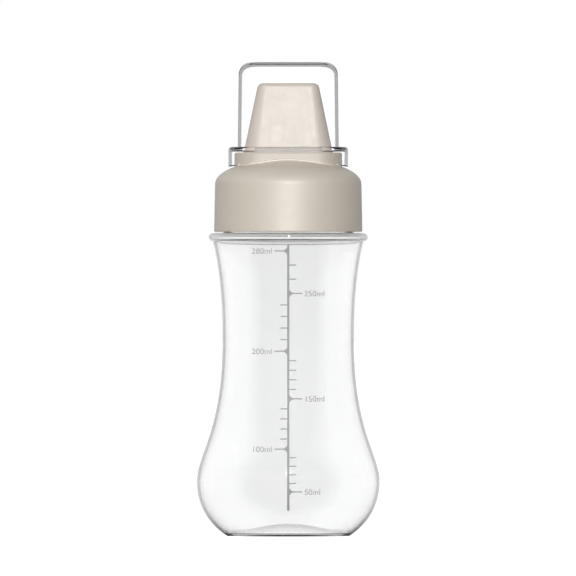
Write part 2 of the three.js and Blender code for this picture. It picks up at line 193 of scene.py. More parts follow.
# %% Round rims, join and cut
def pick_edges(test):
    """Selects the edges in edit mode whose two ends pass the test."""
    bpy.ops.mesh.select_mode(type="EDGE")
    bpy.ops.mesh.select_all(action="DESELECT")
    mesh = bmesh.from_edit_mesh(bpy.context.object.data)
    for edge in mesh.edges:
        if all(test(vertex.co / MM) for vertex in edge.verts):
            edge.select_set(True)
    bmesh.update_edit_mesh(bpy.context.object.data)


def activate(piece):
    bpy.ops.object.select_all(action="DESELECT")
    piece.select_set(True)
    bpy.context.view_layer.objects.active = piece


def round_rim(piece, z, radius, steps):
    """Bevels the edges that lie at one height."""
    activate(piece)
    bpy.ops.object.mode_set(mode="EDIT")
    pick_edges(lambda point: abs(point.z - z) < STEP_RISE / 4)
    bpy.ops.mesh.bevel(offset=radius * MM, affect="EDGES", segments=steps, clamp_overlap=False)
    close_mesh()


def apply_modifier(piece, kind, **settings):
    """Adds a modifier, sets it and applies it."""
    activate(piece)
    bpy.ops.object.modifier_add(type=kind)
    modifier = piece.modifiers[-1]
    for setting, value in settings.items():
        setattr(modifier, setting, value)
    bpy.ops.object.modifier_apply(modifier=modifier.name)


def combine(piece, other, operation):
    """Joins another body to a piece (UNION) or cuts it out (DIFFERENCE), and deletes it."""
    apply_modifier(piece, "BOOLEAN", operation=operation, solver="EXACT", object=other)
    bpy.data.objects.remove(other)


def open_edges(piece):
    """How many edges don't join exactly two faces. A solid body has none."""
    mesh = bmesh.new()
    mesh.from_mesh(piece.data)
    count = sum(not edge.is_manifold for edge in mesh.edges)
    mesh.free()
    return count


def finish_piece(piece, body, nodes, material, smooth_degrees=35):
    """Smooths a piece, gives it its finish and ties it to the body that it moves with."""
    activate(piece)
    bpy.ops.object.shade_smooth_by_angle(angle=math.radians(smooth_degrees))
    apply_modifier(piece, "WEIGHTED_NORMAL", keep_sharp=True)
    piece.data.materials.clear()
    piece.data.materials.append(material)
    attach(piece, body)
    if nodes:
        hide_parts(*nodes)
    print(piece.name, "has", len(piece.data.polygons), "faces,", open_edges(piece), "open edges")


# %% [markdown]
# ## Curves
#
# The blown wall has no straight stretch. Its outline is a chain of Bezier curves, the same that
# one would pull by their handles, and the bead and the lip are arcs of circles.

# %% Outline helpers
def bezier(start, start_handle, end_handle, end, steps):
    """Points of one Bezier curve. The end is left out, because the next stretch starts there."""
    points = []
    for i in range(steps):
        t = i / steps
        weights = ((1 - t) ** 3, 3 * (1 - t) ** 2 * t, 3 * (1 - t) * t**2, t**3)
        ends = (start, start_handle, end_handle, end)
        points.append(tuple(sum(w * p[k] for w, p in zip(weights, ends)) for k in (0, 1)))
    return points


def arc(centre_r, centre_z, radius, first, last, steps):
    """Points of a circular arc, with its angles in degrees from the outward direction."""
    points = []
    for i in range(steps + 1):
        angle = math.radians(first + (last - first) * i / steps)
        points.append((centre_r + radius * math.cos(angle), centre_z + radius * math.sin(angle)))
    return points


def inset(points, wall):
    """The same outline, moved inwards by the wall's thickness."""
    moved = []
    for i, (r, z) in enumerate(points):
        before = points[max(i - 1, 0)]
        after = points[min(i + 1, len(points) - 1)]
        length = math.dist(before, after)
        moved.append(
            (r - (after[1] - before[1]) / length * wall, z + (after[0] - before[0]) / length * wall)
        )
    return moved


# %% [markdown]
# ## The bottle
#
# The real bottle is blown from soft plastic, so one wall of even thickness makes the pushed-up
# base, the belly, the waist and the shoulder. A round bead runs under the cap, and the threaded
# neck is hidden in the cap. It could be a skin with a Solidify modifier, but the neck is thicker
# than the wall and the hollow bead is thinner, so the outline is drawn with its inside and spun
# whole.

# %% The bottle's outline
INK_LIFT = 0.03  # the print lies this far over the wall
belly_r = reach("bottle")[0] - 2 * INK_LIFT  # so that the print stays inside the frame too
lip_z = reach("bottle")[2]

FOOT_R = 23.9
FOOT_LAND = 2.7
FOOT_LEAVE = 30  # degrees
PUSH_UP = 3.4
BELLY_Z = 21.3
WAIST_R = 25.8
WAIST_Z = 77
SHOULDER_R = 29.45
SHOULDER_Z = 115.5
SHOULDER_FLARE = 13  # degrees from upright
WALL = 1.1

# How far the curve handles reach, as shares of the height of their own stretch of the wall.
FOOT_PULL = 0.2
UNDER_BELLY_PULL = 0.6
OVER_BELLY_PULL = 0.2
UNDER_WAIST_PULL = 0.65
OVER_WAIST_PULL = 0.1
FLARE_PULL = 0.45

belly_to_waist = WAIST_Z - BELLY_Z
waist_to_shoulder = SHOULDER_Z - WAIST_Z
foot_pull = FOOT_PULL * BELLY_Z
foot_angle = math.radians(FOOT_LEAVE)
flare_drop = FLARE_PULL * waist_to_shoulder
wall_outline = (
    bezier(
        (FOOT_R, 0),
        (FOOT_R + foot_pull * math.cos(foot_angle), foot_pull * math.sin(foot_angle)),
        (belly_r, BELLY_Z - UNDER_BELLY_PULL * BELLY_Z),
        (belly_r, BELLY_Z),
        24,
    )
    + bezier(
        (belly_r, BELLY_Z),
        (belly_r, BELLY_Z + OVER_BELLY_PULL * belly_to_waist),
        (WAIST_R, WAIST_Z - UNDER_WAIST_PULL * belly_to_waist),
        (WAIST_R, WAIST_Z),
        36,
    )
    + bezier(
        (WAIST_R, WAIST_Z),
        (WAIST_R, WAIST_Z + OVER_WAIST_PULL * waist_to_shoulder),
        (SHOULDER_R - flare_drop * math.tan(math.radians(SHOULDER_FLARE)), SHOULDER_Z - flare_drop),
        (SHOULDER_R, SHOULDER_Z),
        24,
    )
    + [(SHOULDER_R, SHOULDER_Z)]
)
print("wall outline:", len(wall_outline), "points")

# %% Bead, neck and the inside
BEAD_R = 1.65
BEAD_PROUD = 1.8
BEAD_WRAP = 140  # degrees
BEAD_WALL = 0.9
BEAD_HOLLOW_WRAP = 120  # degrees
NECK_R = 25.3
NECK_WALL = 1.8
NECK_FILLET = 1.2
LIP_ROUND = 0.6

bead_z = SHOULDER_Z + BEAD_R
bead_centre_r = SHOULDER_R + BEAD_PROUD - BEAD_R
root_z = bead_z + BEAD_R * math.sin(math.radians(BEAD_WRAP))
mouth_r = NECK_R - NECK_WALL

push_up_outline = bezier(
    (0, PUSH_UP),
    ((FOOT_R - FOOT_LAND) / 2, PUSH_UP),
    (FOOT_R - 2 * FOOT_LAND, 0),
    (FOOT_R - FOOT_LAND, 0),
    16,
) + [(FOOT_R - FOOT_LAND, 0)]
floor_outline = [(r, z + WALL) for r, z in push_up_outline]
inner_wall = inset(wall_outline, WALL)[2:]  # its first two points would lie in the foot
inner_bead = arc(bead_centre_r, bead_z, BEAD_R - BEAD_WALL, BEAD_HOLLOW_WRAP, -90, 16)
inner_deck = bezier(
    (mouth_r, root_z),
    (mouth_r, root_z - WALL),
    (inner_bead[0][0] - BEAD_R, inner_bead[0][1] - BEAD_WALL),
    inner_bead[0],
    8,
)
bottle_outline = (
    push_up_outline
    + wall_outline[:-1]
    + arc(bead_centre_r, bead_z, BEAD_R, -90, BEAD_WRAP, 28)
    + arc(NECK_R + NECK_FILLET, root_z + NECK_FILLET, NECK_FILLET, -90, -180, 6)
    + arc(NECK_R - LIP_ROUND, lip_z - LIP_ROUND, LIP_ROUND, 0, 90, 5)
    + arc(mouth_r + LIP_ROUND, lip_z - LIP_ROUND, LIP_ROUND, 90, 180, 5)
    + inner_deck
    + inner_bead
    + inner_wall[::-1]
    + floor_outline[::-1]
)
bottle_body = turned("bottle_body", bottle_outline)
print("bottle:", [round(size * 1000, 2) for size in bottle_body.dimensions], "mm")

# %% [markdown]
# The thread is a ridge that climbs round the neck, twice, because two starts make the cap come
# off in about a turn. A Screw modifier sweeps a small wedge along the helix. The ends of a real
# thread run out into the wall, so the first and the last rings are drawn back into it.

# %% Threads by the Screw modifier
THREAD_LEAD = 7
THREAD_STARTS = 2
THREAD_HEIGHT = 1.3
THREAD_FLANK = 22  # degrees
THREAD_PLAY = 0.2
THREAD_SINK = 0.3
FADE_RINGS = 14

thread_pitch = THREAD_LEAD / THREAD_STARTS


def thread_ridge(wall_r, side, low_z, start, turns):
    """One ridge on a wall, from an angle in degrees. A side of 1 points outwards, -1 inwards."""
    around = Vector((math.cos(math.radians(start)), math.sin(math.radians(start)), 0))
    half_middle = thread_pitch / 4 - THREAD_PLAY / 2
    half_slope = THREAD_HEIGHT / 2 * math.tan(math.radians(THREAD_FLANK))
    root_r = wall_r - side * THREAD_SINK
    crest_r = wall_r + side * THREAD_HEIGHT
    wedge = (
        (root_r, low_z - half_middle - half_slope),
        (crest_r, low_z - half_middle + half_slope),
        (crest_r, low_z + half_middle - half_slope),
        (root_r, low_z + half_middle + half_slope),
    )
    points = [(around * r + Vector((0, 0, z))) * MM for r, z in wedge]
    bpy.ops.object.select_all(action="DESELECT")
    start_point(points[0])
    ridge = bpy.context.object
    for before, after in zip(points, points[1:] + points[:1]):
        extrude(after - before)
    close_mesh()
    steps = round(TURN_STEPS * turns)
    apply_modifier(
        ridge,
        "SCREW",
        angle=2 * math.pi * turns,
        screw_offset=THREAD_LEAD * turns * MM,
        steps=steps,
        render_steps=steps,
    )
    sink_ends(ridge, len(wedge), side * (THREAD_HEIGHT + THREAD_SINK / 2))
    return ridge


def sink_ends(ridge, corners, depth):
    """Draws the first and last rings of a ridge back towards its wall, and closes both ends."""
    last = len(ridge.data.vertices) // corners - 1
    bpy.ops.object.mode_set(mode="EDIT")
    for ring in [*range(FADE_RINGS), *range(last - FADE_RINGS + 1, last + 1)]:
        share = 1 - min(ring, last - ring) / FADE_RINGS
        mesh = bmesh.from_edit_mesh(ridge.data)
        mesh.verts.ensure_lookup_table()
        bpy.ops.mesh.select_all(action="DESELECT")
        for i in range(ring * corners, (ring + 1) * corners):
            mesh.verts[i].select_set(True)
        outward = mesh.verts[ring * corners].co.copy()
        outward.z = 0
        bpy.ops.transform.translate(value=outward.normalized() * -share * depth * MM)
    bpy.ops.mesh.select_all(action="SELECT")
    bpy.ops.mesh.fill_holes(sides=0)
    close_mesh()


# %% The thread on the neck
NECK_TURNS = 1.25
NECK_THREAD_DROP = 2.6

neck_thread_z = lip_z - NECK_THREAD_DROP - NECK_TURNS * THREAD_LEAD
for start_number in range(THREAD_STARTS):
    start_angle = 360 * start_number / THREAD_STARTS
    combine(bottle_body, thread_ridge(NECK_R, 1, neck_thread_z, start_angle, NECK_TURNS), "UNION")
print("bottle with its thread:", len(bottle_body.data.vertices), "points")

# %% [markdown]
# ## Plastics
#
# Every finish is made of nodes, with no picture files. Their patterns read Object coordinates,
# so they stay on a piece when it moves. A number that is the same all over a surface is typed on
# the shader itself, and only what really varies, such as gloss or fine relief, is linked.

# %% Node helpers
PATTERN_LOW = 0.3  # nearly all of a noise lies between these
PATTERN_HIGH = 0.7


def new_material(name, **sockets):
    """A material with one Principled shader whose sockets are set by name."""
    material = bpy.data.materials.new(name)
    material.use_nodes = True
    shader = material.node_tree.nodes["Principled BSDF"]
    for socket, value in sockets.items():
        shader.inputs[socket.replace("_", " ")].default_value = value
    return material


def noise(material, size, detail=3, stretch=(1, 1, 1)):
    """A Noise Texture on Object coordinates. Its size is that of one grain, in millimetres."""
    nodes, links = material.node_tree.nodes, material.node_tree.links
    place = nodes.new("ShaderNodeTexCoord")
    mapping = nodes.new("ShaderNodeMapping")
    mapping.inputs["Scale"].default_value = [part / (size * MM) for part in stretch]
    texture = nodes.new("ShaderNodeTexNoise")
    texture.inputs["Scale"].default_value = 1
    texture.inputs["Detail"].default_value = detail
    links.new(place.outputs["Object"], mapping.inputs["Vector"])
    links.new(mapping.outputs["Vector"], texture.inputs["Vector"])
    return texture.outputs["Fac"]


def math_node(tree, operation, *values):
    """A Math node, each of whose inputs is a number or another node's output."""
    node = tree.nodes.new("ShaderNodeMath")
    node.operation = operation
    for socket, value in zip(node.inputs, values):
        if isinstance(value, (int, float)):
            socket.default_value = value
        else:
            tree.links.new(value, socket)
    return node.outputs[0]


def place_on(tree, axis):
    """The X, Y or Z of a point on the piece, in metres."""
    place = tree.nodes.new("ShaderNodeTexCoord")
    parts = tree.nodes.new("ShaderNodeSeparateXYZ")
    tree.links.new(place.outputs["Object"], parts.inputs["Vector"])
    return parts.outputs[axis]


def vary_number(material, socket, pattern, low, high):
    """Lets a pattern move a socket of the shader between two numbers."""
    nodes, links = material.node_tree.nodes, material.node_tree.links
    spread = nodes.new("ShaderNodeMapRange")
    spread.inputs["From Min"].default_value = PATTERN_LOW
    spread.inputs["From Max"].default_value = PATTERN_HIGH
    spread.inputs["To Min"].default_value = low
    spread.inputs["To Max"].default_value = high
    spread.clamp = False
    links.new(pattern, spread.inputs["Value"])
    links.new(spread.outputs["Result"], nodes["Principled BSDF"].inputs[socket])


def vary_colour(material, pattern, dark, light):
    """Lets a pattern move the base colour between two colours."""
    nodes, links = material.node_tree.nodes, material.node_tree.links
    ramp = nodes.new("ShaderNodeValToRGB")
    ramp.color_ramp.elements[0].position = PATTERN_LOW
    ramp.color_ramp.elements[0].color = (*dark, 1)
    ramp.color_ramp.elements[1].position = PATTERN_HIGH
    ramp.color_ramp.elements[1].color = (*light, 1)
    links.new(pattern, ramp.inputs["Fac"])
    links.new(ramp.outputs["Color"], nodes["Principled BSDF"].inputs["Base Color"])


def relief(material, *layers):
    """Adds bumps, one upon the other. Each layer is a pattern and its height in millimetres."""
    nodes, links = material.node_tree.nodes, material.node_tree.links
    normal = None
    for pattern, height in layers:
        bump = nodes.new("ShaderNodeBump")
        bump.inputs["Distance"].default_value = height * MM
        links.new(pattern, bump.inputs["Height"])
        if normal:
            links.new(normal, bump.inputs["Normal"])
        normal = bump.outputs["Normal"]
    links.new(normal, nodes["Principled BSDF"].inputs["Normal"])


# %% [markdown]
# Real light finds its way through a thin wall almost undimmed. A path tracer can't follow it from
# a lamp through bent glass, and would leave what is behind the wall in the dark. So both
# see-through plastics let the rays that only carry light go straight on, and bend the rays that
# are looked along.

# %% Let light through
UNDIMMED = 0.96


def lighting_rays(tree):
    """1 for the rays that light what is behind a wall, 0 for those that are looked along."""
    path = tree.nodes.new("ShaderNodeLightPath").outputs
    dull = math_node(tree, "MAXIMUM", path["Is Shadow Ray"], path["Is Diffuse Ray"])
    behind_one_wall = math_node(tree, "COMPARE", path["Transmission Depth"], 2, 0.5)
    rebound = math_node(tree, "MULTIPLY", path["Is Reflection Ray"], behind_one_wall)
    return math_node(tree, "MAXIMUM", dull, rebound)


def let_light_through(material):
    """Puts a transparent shader beside the Principled one, for the lighting rays."""
    tree = material.node_tree
    straight = tree.nodes.new("ShaderNodeBsdfTransparent")
    straight.inputs["Color"].default_value = (UNDIMMED, UNDIMMED, UNDIMMED, 1)
    either = tree.nodes.new("ShaderNodeMixShader")
    tree.links.new(lighting_rays(tree), either.inputs[0])
    tree.links.new(tree.nodes["Principled BSDF"].outputs["BSDF"], either.inputs[1])
    tree.links.new(straight.outputs["BSDF"], either.inputs[2])
    tree.links.new(either.outputs["Shader"], tree.nodes["Material Output"].inputs["Surface"])


# %% [markdown]
# Natural squeeze-bottle plastic is milky: most light goes straight through, and a little is
# scattered. A Principled shader with Transmission and a soft roughness does both. The wall is
# real geometry with an inside and an outside, so its edges darken by themselves, as they do on
# the real one. Where it is seen at a slant, Layer Weight makes its base colour whiter, partly as
# milky plastic does and partly as painted light, the bright side bands, and grey again at its
# very edge, as painted shade. The bead and the neck are thicker, so less light goes through
# them, and their base colour is whiter, partly for the thicker plastic and partly as painted light.

# %% The milky wall
PAINTED_BAND_START = 0.09  # from this slant the base colour is painted whiter, as bright side bands (0 is square on, 1 is edge on)
PAINTED_BAND_GAIN = 3
PAINTED_BAND_TURN = 0.45  # and is painted grey again at its very edge, as shade
CLOUD_SHARE = 0.2  # how much faint clouds in the plastic move its colour
THIN_CLEAR = 0.985  # the wall's transmission
THICK_MILK = 0.15  # how much less goes through the bead and the neck
THICK_WHITE_AND_PAINTED_LIGHT = 0.3  # and how much whiter their base colour is, partly for the thicker plastic, partly as painted light


def milky_wall():
    material = new_material("milky_wall", IOR=1.56)
    tree = material.node_tree
    thick = math_node(tree, "GREATER_THAN", place_on(tree, "Z"), SHOULDER_Z * MM)
    clearness = math_node(tree, "MULTIPLY_ADD", thick, -THICK_MILK, THIN_CLEAR)
    tree.links.new(clearness, tree.nodes["Principled BSDF"].inputs["Transmission Weight"])
    clouds = noise(material, 22, detail=2, stretch=(1, 1, 0.5))
    # Painted light and shade: the base colour stays greyer where the wall faces the view, turns
    # whiter at a slant as painted side bands, and grey again at the very edge.
    facing = tree.nodes.new("ShaderNodeLayerWeight").outputs["Facing"]
    slant = math_node(tree, "PINGPONG", facing, PAINTED_BAND_TURN)
    start = PATTERN_LOW - CLOUD_SHARE / 2 - PAINTED_BAND_START * PAINTED_BAND_GAIN
    tint = math_node(tree, "MULTIPLY_ADD", clouds, CLOUD_SHARE, start)
    tint = math_node(tree, "MULTIPLY_ADD", slant, PAINTED_BAND_GAIN, tint)
    # Above the shoulder the base colour is whiter: partly the thicker milky plastic, partly painted
    # light.
    tint = math_node(tree, "MULTIPLY_ADD", thick, THICK_WHITE_AND_PAINTED_LIGHT, tint)
    vary_colour(material, tint, (0.872, 0.875, 0.875), (0.99, 0.992, 0.992))
    vary_number(material, "Roughness", noise(material, 9), 0.03, 0.05)
    relief(material, (clouds, 0.02))
    let_light_through(material)
    return material


finish_piece(bottle_body, "bottle", ["bottle"], milky_wall())

# %% [markdown]
# ## The sealing ring
#
# A soft flat washer lies between the lip and the cap. A squeezed bottle would leak at the thread
# without it. It is a turned piece with rounded edges, and shows only when the cap is off.

# %% The sealing ring
SEAT_GAP = 0.3
RIB_GAP = 0.5
RING_ROUND = 0.5

ring_out_r, _, ring_top_z, ring_low_z = reach("sealing_ring")
rib_r = mouth_r - RIB_GAP
ring_in_r = rib_r + SEAT_GAP
ring_outline = (
    arc(ring_out_r - RING_ROUND, ring_low_z + RING_ROUND, RING_ROUND, -90, 0, 6)
    + arc(ring_out_r - RING_ROUND, ring_top_z - RING_ROUND, RING_ROUND, 0, 90, 6)
    + arc(ring_in_r + RING_ROUND, ring_top_z - RING_ROUND, RING_ROUND, 90, 180, 6)
    + arc(ring_in_r + RING_ROUND, ring_low_z + RING_ROUND, RING_ROUND, 180, 270, 6)
)
sealing_washer = turned("sealing_washer", ring_outline)


def soft_silicone():
    material = new_material("soft_silicone", Subsurface_Weight=0.3, Subsurface_Scale=0.002)
    vary_colour(material, noise(material, 3), (0.80, 0.80, 0.77), (0.86, 0.86, 0.83))
    vary_number(material, "Roughness", noise(material, 1.2), 0.5, 0.65)
    relief(material, (noise(material, 0.3), 0.008))
    return material


finish_piece(sealing_washer, "seal", ["sealing_ring"], soft_silicone())

# %% [markdown]
# ## The screw cap
#
# The cap is one moulding: a plain skirt, a dome with a long soft edge, and an oval collar that
# the nozzle comes out of. The skirt and the dome are turned in one outline, with the plug rib
# that goes into the neck, and the collar is lofted and joined on with a Boolean modifier.

# %% The skirt and the dome
CAP_WALL = 2.05
CAP_DRAFT = 0.35
CAP_EDGE = 0.4
CAP_ROOF = 2
DOME_DROP = 1.2
DOME_EDGE = 8.7
DOME_EDGE_RISE = 7.2
DOME_SLOPE = math.radians(13)
DOME_RISE_PULL = 0.6  # shares of the dome's edge that its curve handles reach
DOME_SLOPE_PULL = 0.25
RIB_WALL = 1
RIB_DROP = 3.4

cap_r, _, collar_top_z, cap_low_z = reach("screw_cap")
bore_r = cap_r - CAP_WALL
seat_z = ring_top_z + SEAT_GAP
dome_low_z = seat_z - DOME_DROP
cone_r = cap_r - CAP_DRAFT - DOME_EDGE
cone_z = dome_low_z + DOME_EDGE_RISE
dome_outline = bezier(
    (cap_r - CAP_DRAFT, dome_low_z),
    (cap_r - CAP_DRAFT, dome_low_z + DOME_RISE_PULL * DOME_EDGE_RISE),
    (
        cone_r + DOME_SLOPE_PULL * DOME_EDGE * math.cos(DOME_SLOPE),
        cone_z - DOME_SLOPE_PULL * DOME_EDGE * math.sin(DOME_SLOPE),
    ),
    (cone_r, cone_z),
    28,
) + [(cone_r, cone_z), (0, cone_z + cone_r * math.tan(DOME_SLOPE))]


def dome_z(r):
    """Height of the dome over a radius."""
    for outer, inner in zip(dome_outline, dome_outline[1:]):
        if inner[0] <= r <= outer[0]:
            share = (outer[0] - r) / (outer[0] - inner[0])
            return outer[1] + share * (inner[1] - outer[1])


rib_in_r = rib_r - RIB_WALL
cap_outline = (
    arc(cap_r - CAP_EDGE, cap_low_z + CAP_EDGE, CAP_EDGE, -90, 0, 5)
    + dome_outline
    + [
        (0, dome_z(0) - CAP_ROOF),
        (cone_r, cone_z - CAP_ROOF),
        (rib_in_r, dome_z(rib_in_r) - CAP_ROOF),
    ]
    + arc(rib_in_r + RIB_WALL / 2, seat_z - RIB_DROP + RIB_WALL / 2, RIB_WALL / 2, 180, 360, 8)
    + [(rib_r, seat_z), (bore_r, seat_z)]
    + arc(bore_r + CAP_EDGE, cap_low_z + CAP_EDGE, CAP_EDGE, 180, 270, 5)
)
cap_shell = turned("cap_shell", cap_outline)
print("cap:", [round(size * 1000, 2) for size in cap_shell.dimensions], "mm")

# %% The collar and the nozzle's opening
FLANGE_OUT = 1.6
FLANGE_THICKNESS = 2
COLLAR_MARGIN = 3.3
COLLAR_LIP = 2
COLLAR_ROUND = 0.8
NOZZLE_CORNER = 6.4
OVERRUN = 2
CLIP_BEAD = 0.5
CLIP_BEAD_RISE = 0.7

flange_x, flange_y, tip_z, flange_low_z = reach("spout")
nozzle_foot = (flange_x - FLANGE_OUT, flange_y - FLANGE_OUT, NOZZLE_CORNER, collar_top_z)
collar_ring = grown(nozzle_foot, SEAT_GAP + COLLAR_MARGIN, collar_top_z)
collar_low_z = dome_z(collar_ring[0]) - CAP_ROOF / 2
collar = lofted("collar", [grown(collar_ring, 0, collar_low_z), collar_ring])
round_rim(collar, collar_top_z, COLLAR_ROUND, 6)
combine(cap_shell, collar, "UNION")

pocket = grown(nozzle_foot, SEAT_GAP + FLANGE_OUT, collar_low_z - OVERRUN)
clip_z = flange_low_z - SEAT_GAP - CLIP_BEAD
lip_low_z = collar_top_z - COLLAR_LIP
opening = lofted(
    "opening",
    [
        pocket,
        grown(pocket, 0, clip_z - CLIP_BEAD_RISE),
        grown(pocket, -CLIP_BEAD, clip_z - CLIP_BEAD_RISE + CLIP_BEAD),
        grown(pocket, -CLIP_BEAD, clip_z),
        grown(pocket, 0, clip_z + CLIP_BEAD),
        grown(pocket, 0, lip_low_z),
        grown(nozzle_foot, SEAT_GAP, lip_low_z + STEP_RISE),
        grown(nozzle_foot, SEAT_GAP, collar_top_z + OVERRUN),
    ],
)
combine(cap_shell, opening, "DIFFERENCE")
print("cap with its collar:", len(cap_shell.data.vertices), "points")

# %% The thread in the cap
CAP_TURNS = 0.9
CAP_THREAD_RISE = 4.5

# Half a pitch over the neck's thread, from the angle at which it has the wanted height.
cap_start = 360 * (cap_low_z + CAP_THREAD_RISE - neck_thread_z) / THREAD_LEAD
cap_thread_z = neck_thread_z + thread_pitch / 2 + THREAD_LEAD * cap_start / 360
for start_number in range(THREAD_STARTS):
    start_angle = cap_start + 360 * start_number / THREAD_STARTS
    combine(cap_shell, thread_ridge(bore_r, -1, cap_thread_z, start_angle, CAP_TURNS), "UNION")
print("cap with its thread:", len(cap_shell.data.vertices), "points")

# %% [markdown]
# The beige plastic of the cap is satin. It comes out of a finely eroded mould, which leaves a
# grain that is felt more than seen. The colour is very even, so its variation stays small.

# %% Beige satin plastic
def satin_plastic(name, dark, light):
    material = new_material(name, IOR=1.75, Specular_IOR_Level=1.0)
    vary_colour(material, noise(material, 14, detail=4), dark, light)
    vary_number(material, "Roughness", noise(material, 2.5), 0.5, 0.58)
    relief(material, (noise(material, 6), 0.01), (noise(material, 0.28, detail=5), 0.006))
    return material


cap_plastic = satin_plastic("cap_plastic", (0.71, 0.637, 0.541), (0.745, 0.668, 0.571))
finish_piece(cap_shell, "cap", ["screw_cap"], cap_plastic)

# %% [markdown]
# ## The nozzle
#
# The nozzle is a flat, hollow wedge with five holes in a row at its tip. It is clipped into the
# collar from below, by a flange. It is lofted from a wide oval to a narrow one, hollowed with a
# second loft, and drilled. The drill is a turned body with a wider upper end, so that each hole
# has a small chamfer, as a moulded hole does.

# %% The nozzle's shell
TIP_X = 11.8
TIP_Y = 4
TIP_CORNER = 3.4
TIP_ROUND = 1.8
NOZZLE_WALL = 1.3
TIP_WALL = 1.5
FOOT_EDGE = 0.25

flange_top_z = flange_low_z + FLANGE_THICKNESS
nozzle_tip = (TIP_X, TIP_Y, TIP_CORNER, tip_z)


def between(low, high, z):
    """The rounded rectangle that lies between two others at a height."""
    share = (z - low[3]) / (high[3] - low[3])
    return (*(a + share * (b - a) for a, b in zip(low[:3], high[:3])), z)


flat_nozzle = lofted(
    "flat_nozzle",
    [
        grown(nozzle_foot, FLANGE_OUT - FOOT_EDGE, flange_low_z),
        grown(nozzle_foot, FLANGE_OUT, flange_low_z + FOOT_EDGE),
        grown(nozzle_foot, FLANGE_OUT, flange_top_z - FOOT_EDGE),
        grown(nozzle_foot, FLANGE_OUT - FOOT_EDGE, flange_top_z),
        grown(nozzle_foot, 0, flange_top_z + STEP_RISE),
        nozzle_foot,
        nozzle_tip,
    ],
)
round_rim(flat_nozzle, tip_z, TIP_ROUND, 10)
inner_tip_z = tip_z - TIP_WALL
channel = lofted(
    "channel",
    [
        grown(nozzle_foot, -NOZZLE_WALL, flange_low_z - OVERRUN),
        grown(nozzle_foot, -NOZZLE_WALL, collar_top_z),
        grown(between(nozzle_foot, nozzle_tip, inner_tip_z), -NOZZLE_WALL, inner_tip_z),
    ],
)
combine(flat_nozzle, channel, "DIFFERENCE")
print("nozzle:", [round(size * 1000, 2) for size in flat_nozzle.dimensions], "mm")

# %% The row of holes
def apply_place():
    """Writes the place of the selected object into its mesh."""
    bpy.ops.object.transform_apply(location=True, rotation=True, scale=True)


HOLE_COUNT = 5
HOLE_R = 1.05
HOLE_PITCH = 4
HOLE_CHAMFER = 0.3


def drill(x):
    """A round cutter that widens just under the tip's surface."""
    wide_r = HOLE_R + 2 * HOLE_CHAMFER
    low_z, high_z = inner_tip_z - OVERRUN, tip_z + HOLE_CHAMFER
    cutter = turned(
        "drill",
        [(0, low_z), (HOLE_R, low_z), (HOLE_R, tip_z - HOLE_CHAMFER), (wide_r, high_z), (0, high_z)],
    )
    activate(cutter)
    bpy.ops.transform.translate(value=(x * MM, 0, 0))
    apply_place()
    return cutter


for hole_number in range(HOLE_COUNT):
    combine(flat_nozzle, drill((hole_number - (HOLE_COUNT - 1) / 2) * HOLE_PITCH), "DIFFERENCE")
# Painted light: the nozzle's beige is a lighter copy of the cap's, for the light on its flat front.
nozzle_plastic_painted_lighter = satin_plastic("nozzle_plastic_painted_lighter", (0.835, 0.752, 0.66), (0.87, 0.784, 0.694))
finish_piece(flat_nozzle, "cap", ["spout"], nozzle_plastic_painted_lighter)

# %% [markdown]
# ## The clear cover
#
# The cover is one clear moulding: a tall box that stands on a shelf, with a skirt that goes over
# the collar. Clear plastic shows its inner faces as much as its outer ones, so both are lofted
# with their own roundings, one cut out of the other. The skirt ends a little over the dome, which
# is done by cutting it with the dome's own outline, moved up by the gap.

# %% The cover
COVER_WALL = 1.3
COVER_TOP_WALL = 1.65
COVER_DRAFT = 0.4
COVER_ROUND = 4.8
NOZZLE_GAP = 1.05
COLLAR_GAP = 1.1
DOME_GAP = 0.9
SHELF_THICKNESS = 1.9
SHELF_ROUND = 1.3
SHELF_INNER_ROUND = 0.8

cover_top_z = reach("dust_cover")[2]
shelf_z = collar_top_z + SEAT_GAP
shelf_top_z = shelf_z + SHELF_THICKNESS
cover_in_z = cover_top_z - COVER_TOP_WALL
skirt_in = grown(collar_ring, COLLAR_GAP, shelf_z)
box_in = grown(nozzle_foot, NOZZLE_GAP, shelf_z + STEP_RISE)
clear_cover = lofted(
    "clear_cover",
    [
        grown(skirt_in, COVER_WALL, dome_low_z),
        grown(skirt_in, COVER_WALL, shelf_top_z),
        grown(box_in, COVER_WALL, shelf_top_z + STEP_RISE),
        grown(box_in, COVER_WALL - COVER_DRAFT, cover_top_z),
    ],
)
round_rim(clear_cover, shelf_top_z, SHELF_ROUND, 8)
round_rim(clear_cover, cover_top_z, COVER_ROUND, 14)
shelf_edge = [
    grown(box_in, SHELF_INNER_ROUND - r, shelf_z + STEP_RISE + SHELF_INNER_ROUND + z)
    for r, z in arc(0, 0, SHELF_INNER_ROUND, -90, 0, 8)
]
hollow = lofted(
    "hollow",
    [
        grown(skirt_in, 0, dome_low_z - OVERRUN),
        skirt_in,
        *shelf_edge,
        grown(box_in, -COVER_DRAFT, cover_in_z),
    ],
)
round_rim(hollow, cover_in_z, COVER_ROUND - COVER_WALL, 12)
combine(clear_cover, hollow, "DIFFERENCE")
dome_below = turned(
    "dome_below",
    [(0, dome_low_z - 2 * OVERRUN), (cap_r, dome_low_z - 2 * OVERRUN)]
    + [(r, z + DOME_GAP) for r, z in dome_outline],
)
combine(clear_cover, dome_below, "DIFFERENCE")
print("cover:", [round(size * 1000, 2) for size in clear_cover.dimensions], "mm")

# %% [markdown]
# The cover's plastic is clear, with a trace of grey that only shows where one looks along a wall.
# The front and back edges of the shelf are a little frosted, where the mould parts, and a
# darker base colour there is painted shade.

